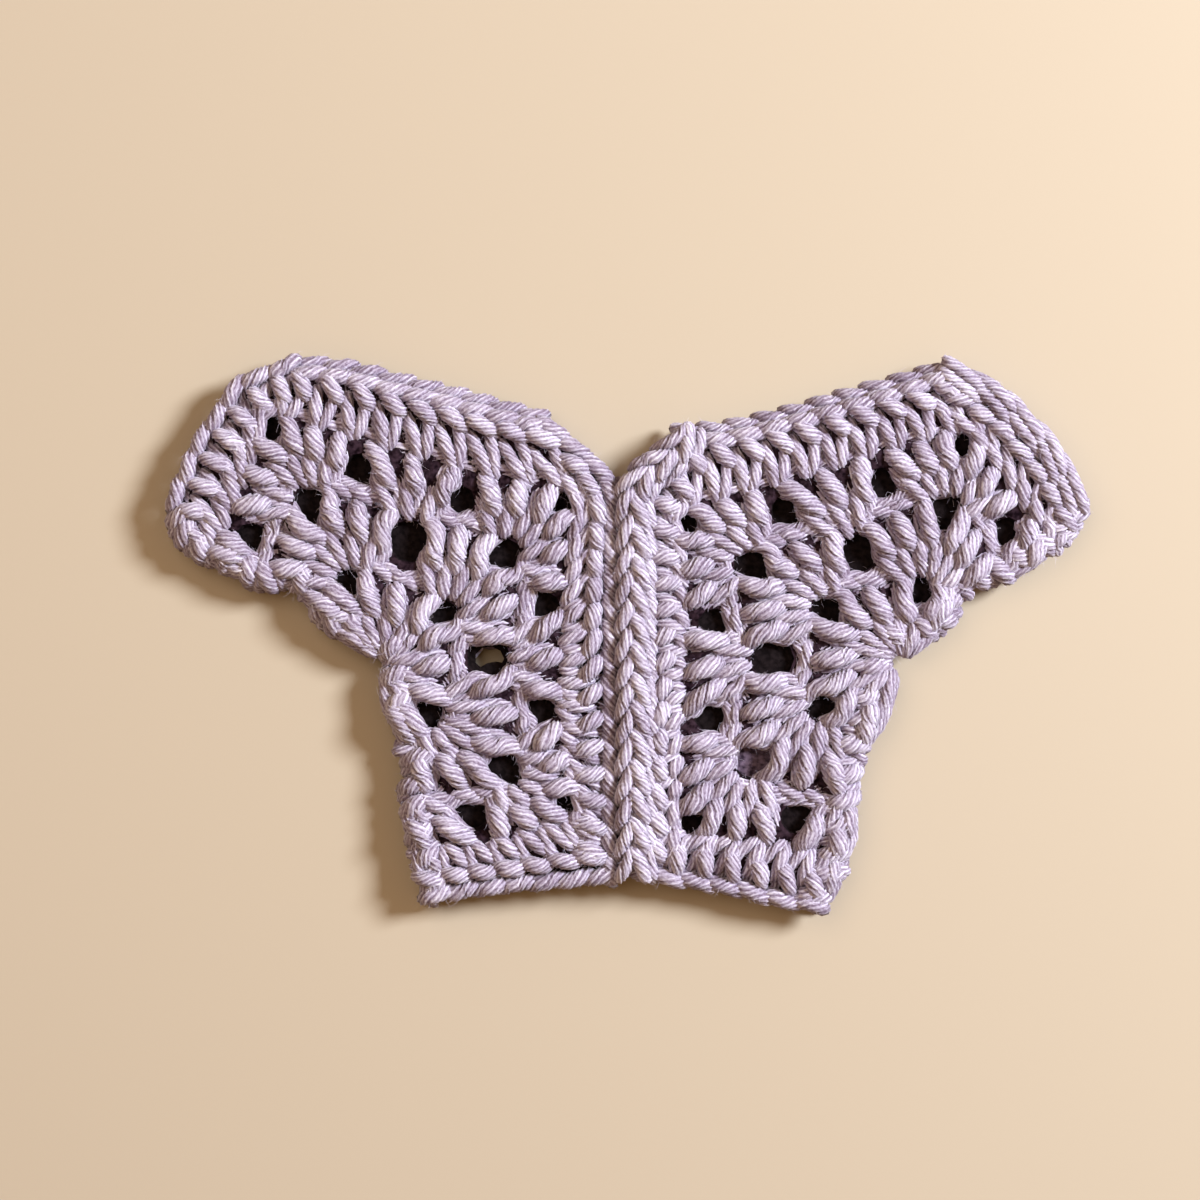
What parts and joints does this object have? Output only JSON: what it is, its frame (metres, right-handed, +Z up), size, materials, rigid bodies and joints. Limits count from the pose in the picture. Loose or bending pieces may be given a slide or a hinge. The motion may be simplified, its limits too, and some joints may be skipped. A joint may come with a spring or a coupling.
{
  "type": "cardigan",
  "caption": "Small open-front hexagon cardigan with short sleeves, crocheted in granny clusters with open spaces and chain edges, laid flat with its back on the surface.",
  "frame": {"origin": "centre of the garment's outline, on the surface that it lies on", "axes": "+X towards the wearer's left, +Y towards the neck, +Z up from the surface"},
  "size_m": [0.1948, 0.1166, 0.0114],
  "materials": {
    "yarn": "matte plied wool"
  },
  "bodies": {
    "root": {"right_front": "yarn", "right_back": "yarn", "right_front_band": "yarn", "right_back_neck_edge": "yarn", "right_cuff_edge_front": "yarn", "right_cuff_edge_back": "yarn", "right_hem_edge_front": "yarn", "right_hem_edge_back": "yarn", "right_shoulder_seam": "yarn", "left_front": "yarn", "left_back": "yarn", "left_front_band": "yarn", "left_back_neck_edge": "yarn", "left_cuff_edge_front": "yarn", "left_cuff_edge_back": "yarn", "left_hem_edge_front": "yarn", "left_hem_edge_back": "yarn", "left_shoulder_seam": "yarn", "back_seam": "yarn"}
  },
  "joints": []
}
